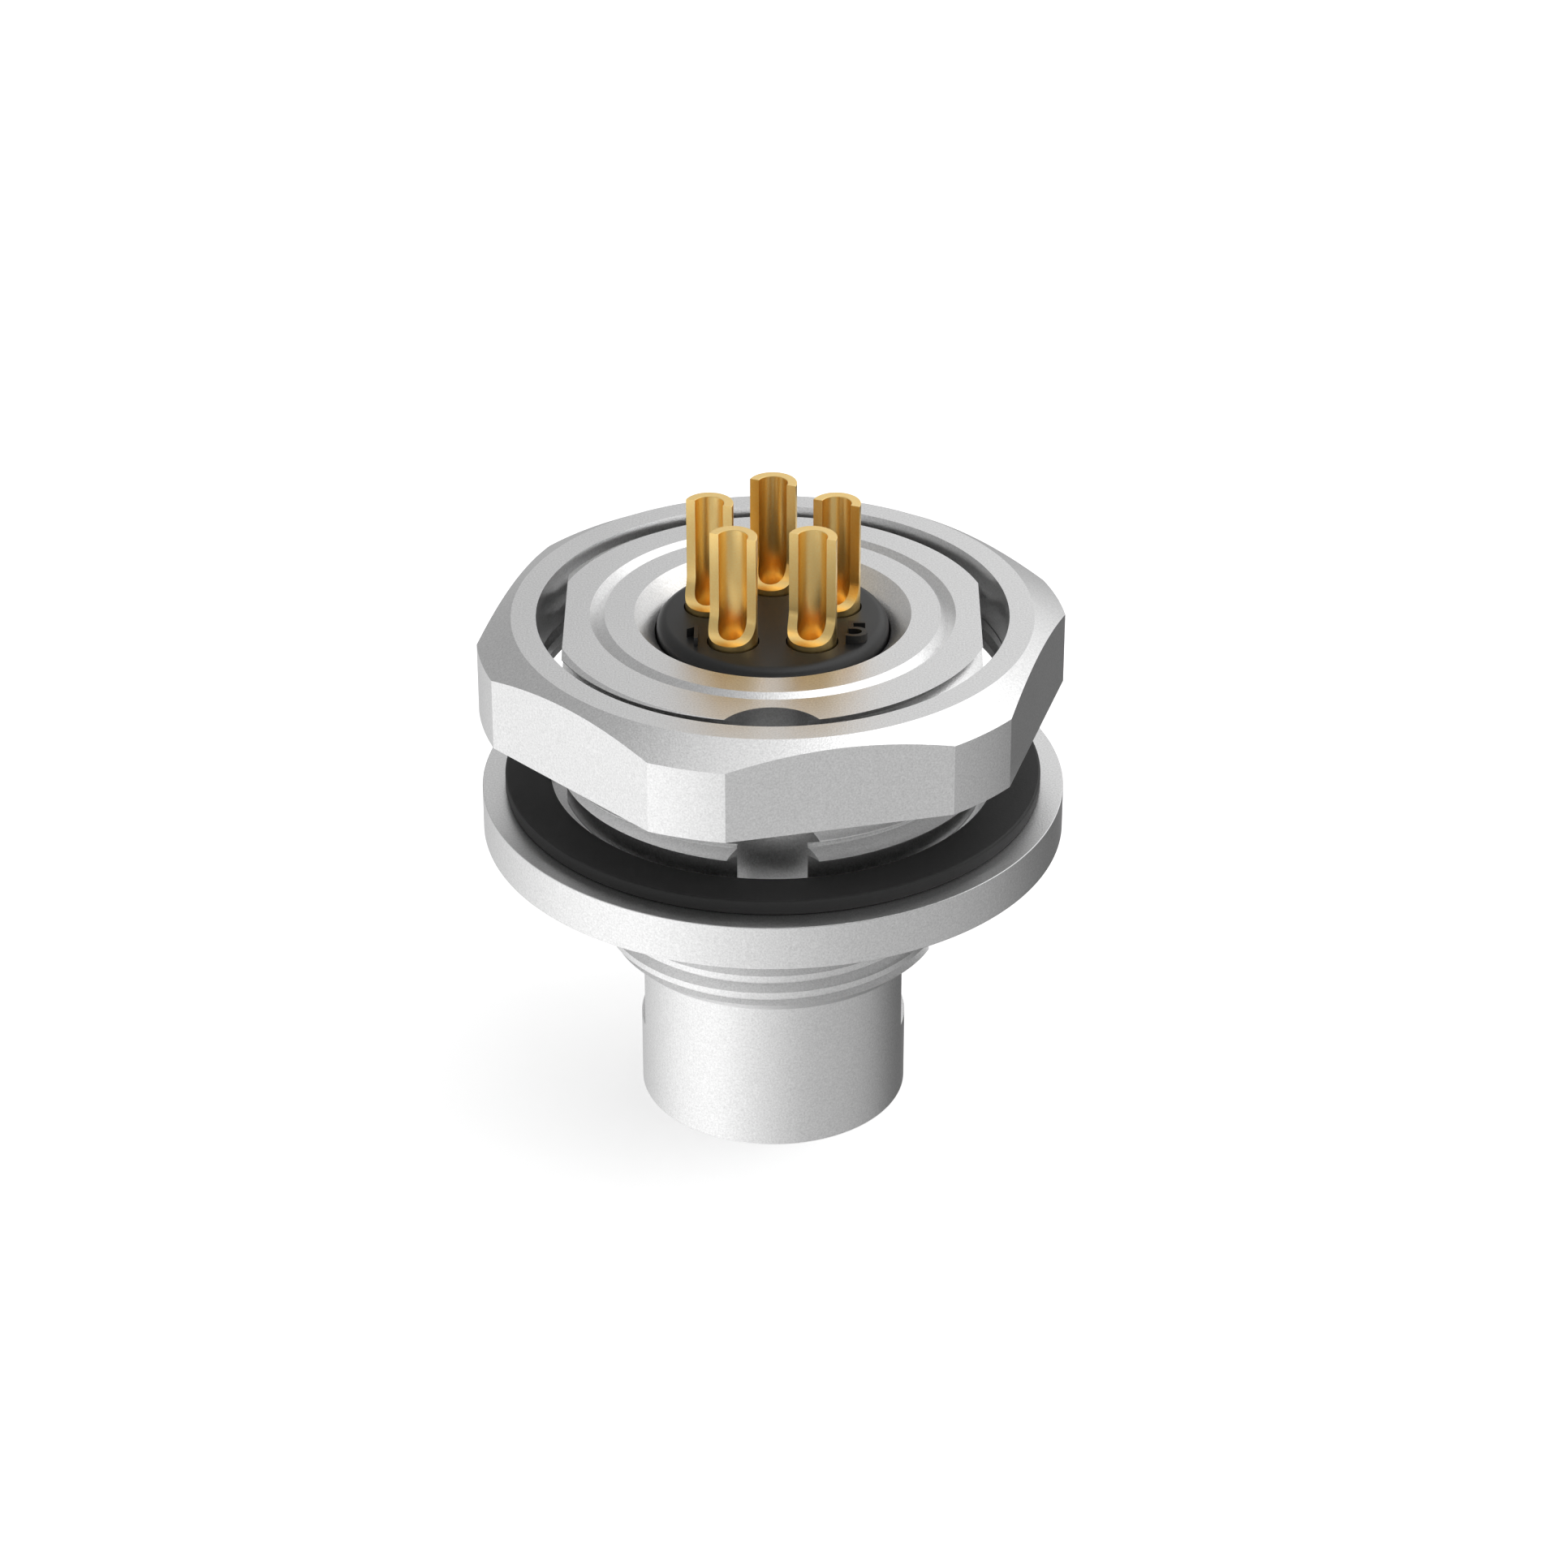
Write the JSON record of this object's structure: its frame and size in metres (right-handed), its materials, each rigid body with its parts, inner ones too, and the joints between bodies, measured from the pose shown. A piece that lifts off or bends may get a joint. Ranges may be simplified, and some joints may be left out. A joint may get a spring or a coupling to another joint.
{
  "type": "circular panel mount connector",
  "caption": "Rear-fastened round panel receptacle: flanged metal housing with hex nut and flat gasket, black insert with five gold solder cups, coupling thread and plain barrel at the front.",
  "frame": {"origin": "centre of the barrel's mating end, the lowest point of the part", "axes": "+Z along the connector's axis, from the mating end towards the solder cups; -Y is the side with the keyway of the threaded tube; X runs across the two flats"},
  "size_m": [0.015, 0.0151, 0.0168],
  "materials": {
    "nickel_plating": "satin nickel plating on turned brass",
    "gold_plating": "matte gold plating on turned brass",
    "black_plastic": "fine moulded matte",
    "black_rubber": "matte moulded rubber"
  },
  "bodies": {
    "receptacle": {"housing": "nickel_plating", "panel_gasket": "black_rubber", "rear_insulator": "black_plastic", "front_insulator": "black_plastic", "insert_seal": "black_rubber", "contact_1": "gold_plating", "contact_2": "gold_plating", "contact_3": "gold_plating", "contact_4": "gold_plating", "contact_5": "gold_plating"},
    "nut": {"hex_nut": "nickel_plating"}
  },
  "joints": [
    {"name": "nut_travel", "type": "slide", "parent": "receptacle", "child": "nut", "axis": [0, 0, 1], "range_m": [-0.002, 0.00245]}
  ]
}
